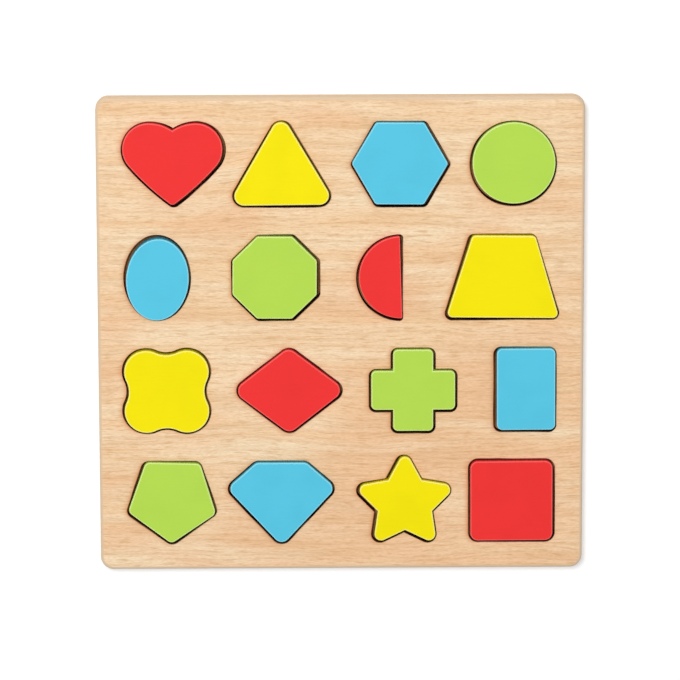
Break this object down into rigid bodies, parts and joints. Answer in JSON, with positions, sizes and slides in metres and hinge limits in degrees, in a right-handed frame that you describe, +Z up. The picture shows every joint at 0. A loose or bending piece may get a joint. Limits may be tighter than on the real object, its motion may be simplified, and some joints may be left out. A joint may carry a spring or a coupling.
{
  "type": "wooden shape puzzle",
  "caption": "Flat square wooden board with cut-outs of basic shapes, each holding a loose painted tile that lifts straight out and fits back in its own outline.",
  "frame": {"origin": "under the middle of the board, on the surface that it lies on", "axes": "+Z up out of the board's face, +X towards the board's right edge as pictured, +Y towards its top edge"},
  "size_m": [0.2248, 0.2248, 0.01],
  "materials": {
    "beech_board": "beech-faced board, clear matt varnish, straight grain with short dark flecks",
    "backing_board": "thin wood backing sheet, raw sanded underside",
    "red_paint": "wood tile, satin red paint on the face, cut edges of bare browned wood",
    "yellow_paint": "wood tile, satin yellow paint on the face, cut edges of bare browned wood",
    "blue_paint": "wood tile, satin sky-blue paint on the face, cut edges of bare browned wood",
    "green_paint": "wood tile, satin light-green paint on the face, cut edges of bare browned wood"
  },
  "bodies": {
    "board": {"base_panel": "backing_board", "frame_panel": "beech_board"},
    "heart": {"heart_tile": "red_paint"},
    "triangle": {"triangle_tile": "yellow_paint"},
    "hexagon": {"hexagon_tile": "blue_paint"},
    "circle": {"circle_tile": "green_paint"},
    "ellipse": {"ellipse_tile": "blue_paint"},
    "octagon": {"octagon_tile": "green_paint"},
    "semicircle": {"semicircle_tile": "red_paint"},
    "trapezoid": {"trapezoid_tile": "yellow_paint"},
    "quatrefoil": {"quatrefoil_tile": "yellow_paint"},
    "rhombus": {"rhombus_tile": "red_paint"},
    "cross": {"cross_tile": "green_paint"},
    "rectangle": {"rectangle_tile": "blue_paint"},
    "pentagon": {"pentagon_tile": "green_paint"},
    "gem": {"gem_tile": "blue_paint"},
    "star": {"star_tile": "yellow_paint"},
    "square": {"square_tile": "red_paint"}
  },
  "joints": [
    {"name": "heart_lift", "type": "slide", "parent": "board", "child": "heart", "axis": [0, 0, 1], "range_m": [0, 0.025]},
    {"name": "triangle_lift", "type": "slide", "parent": "board", "child": "triangle", "axis": [0, 0, 1], "range_m": [0, 0.025]},
    {"name": "hexagon_lift", "type": "slide", "parent": "board", "child": "hexagon", "axis": [0, 0, 1], "range_m": [0, 0.025]},
    {"name": "circle_lift", "type": "slide", "parent": "board", "child": "circle", "axis": [0, 0, 1], "range_m": [0, 0.025]},
    {"name": "ellipse_lift", "type": "slide", "parent": "board", "child": "ellipse", "axis": [0, 0, 1], "range_m": [0, 0.025]},
    {"name": "octagon_lift", "type": "slide", "parent": "board", "child": "octagon", "axis": [0, 0, 1], "range_m": [0, 0.025]},
    {"name": "semicircle_lift", "type": "slide", "parent": "board", "child": "semicircle", "axis": [0, 0, 1], "range_m": [0, 0.025]},
    {"name": "trapezoid_lift", "type": "slide", "parent": "board", "child": "trapezoid", "axis": [0, 0, 1], "range_m": [0, 0.025]},
    {"name": "quatrefoil_lift", "type": "slide", "parent": "board", "child": "quatrefoil", "axis": [0, 0, 1], "range_m": [0, 0.025]},
    {"name": "rhombus_lift", "type": "slide", "parent": "board", "child": "rhombus", "axis": [0, 0, 1], "range_m": [0, 0.025]},
    {"name": "cross_lift", "type": "slide", "parent": "board", "child": "cross", "axis": [0, 0, 1], "range_m": [0, 0.025]},
    {"name": "rectangle_lift", "type": "slide", "parent": "board", "child": "rectangle", "axis": [0, 0, 1], "range_m": [0, 0.025]},
    {"name": "pentagon_lift", "type": "slide", "parent": "board", "child": "pentagon", "axis": [0, 0, 1], "range_m": [0, 0.025]},
    {"name": "gem_lift", "type": "slide", "parent": "board", "child": "gem", "axis": [0, 0, 1], "range_m": [0, 0.025]},
    {"name": "star_lift", "type": "slide", "parent": "board", "child": "star", "axis": [0, 0, 1], "range_m": [0, 0.025]},
    {"name": "square_lift", "type": "slide", "parent": "board", "child": "square", "axis": [0, 0, 1], "range_m": [0, 0.025]}
  ]
}
